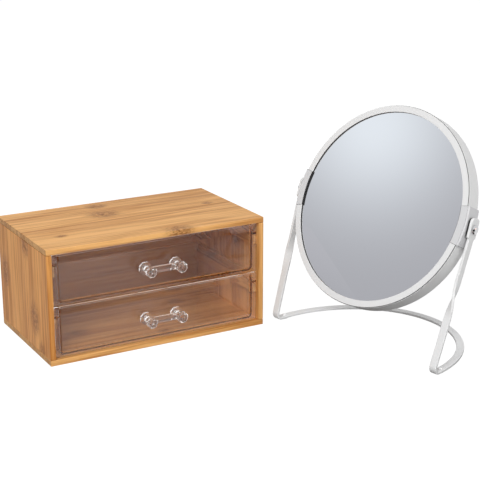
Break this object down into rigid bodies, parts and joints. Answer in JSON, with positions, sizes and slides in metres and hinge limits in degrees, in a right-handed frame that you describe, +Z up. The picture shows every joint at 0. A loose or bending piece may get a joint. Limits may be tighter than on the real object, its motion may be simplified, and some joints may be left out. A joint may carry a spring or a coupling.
{
  "type": "vanity mirror with drawer box",
  "caption": "Bamboo desk box with clear bevelled drawers, and beside it a round tilting cosmetic mirror in a bent flat-steel stand.",
  "frame": {"origin": "centre of the drawer box's underside, on the table", "axes": "+X to the box's right, +Y to its back (the drawers open along -Y), +Z up"},
  "size_m": [0.3597, 0.3036, 0.2087],
  "materials": {
    "bamboo": "caramel laminated bamboo, satin lacquer",
    "clear_plastic": "clear moulded polystyrene, polished",
    "white_paint": "white powder coat on steel, satin",
    "mirror_glass": "silvered glass",
    "chrome": "chrome plated steel",
    "zinc_steel": "zinc plated steel",
    "black_rubber": "black rubber, matt",
    "white_rubber": "white rubber, matt",
    "backing_board": "grey pressed board"
  },
  "bodies": {
    "root": {"top_board": "bamboo", "bottom_board": "bamboo", "left_side_board": "bamboo", "right_side_board": "bamboo", "back_panel": "bamboo", "upper_left_runner": "bamboo", "upper_right_runner": "bamboo", "lower_left_runner": "bamboo", "lower_right_runner": "bamboo", "stand_band": "white_paint", "left_foot_plug": "white_rubber", "right_foot_plug": "white_rubber", "left_pivot_spacer": "black_rubber", "right_pivot_spacer": "black_rubber"},
    "upper_drawer": {"upper_drawer_tray": "clear_plastic", "upper_drawer_handle": "clear_plastic"},
    "lower_drawer": {"lower_drawer_tray": "clear_plastic", "lower_drawer_handle": "clear_plastic"},
    "mirror": {"mirror_frame_band": "white_paint", "front_ring": "white_paint", "rear_ring": "white_paint", "front_gasket": "black_rubber", "rear_gasket": "black_rubber", "front_mirror_glass": "mirror_glass", "rear_magnifying_glass": "mirror_glass", "backing_disc": "backing_board", "left_pivot_clip": "white_paint", "right_pivot_clip": "white_paint", "left_clip_liner": "black_rubber", "right_clip_liner": "black_rubber", "left_pivot_screw": "chrome", "right_pivot_screw": "chrome", "left_pivot_nut": "zinc_steel", "right_pivot_nut": "zinc_steel"}
  },
  "joints": [
    {"name": "upper_drawer_slide", "type": "slide", "parent": "root", "child": "upper_drawer", "axis": [0, -1, 0], "range_m": [0, 0.085]},
    {"name": "lower_drawer_slide", "type": "slide", "parent": "root", "child": "lower_drawer", "axis": [0, -1, 0], "range_m": [0, 0.085]},
    {"name": "mirror_tilt", "type": "hinge", "parent": "root", "child": "mirror", "pos_m": [0.1838, -0.1389, 0.1221], "axis": [0.2554, -0.9668, 0], "continuous": true}
  ]
}
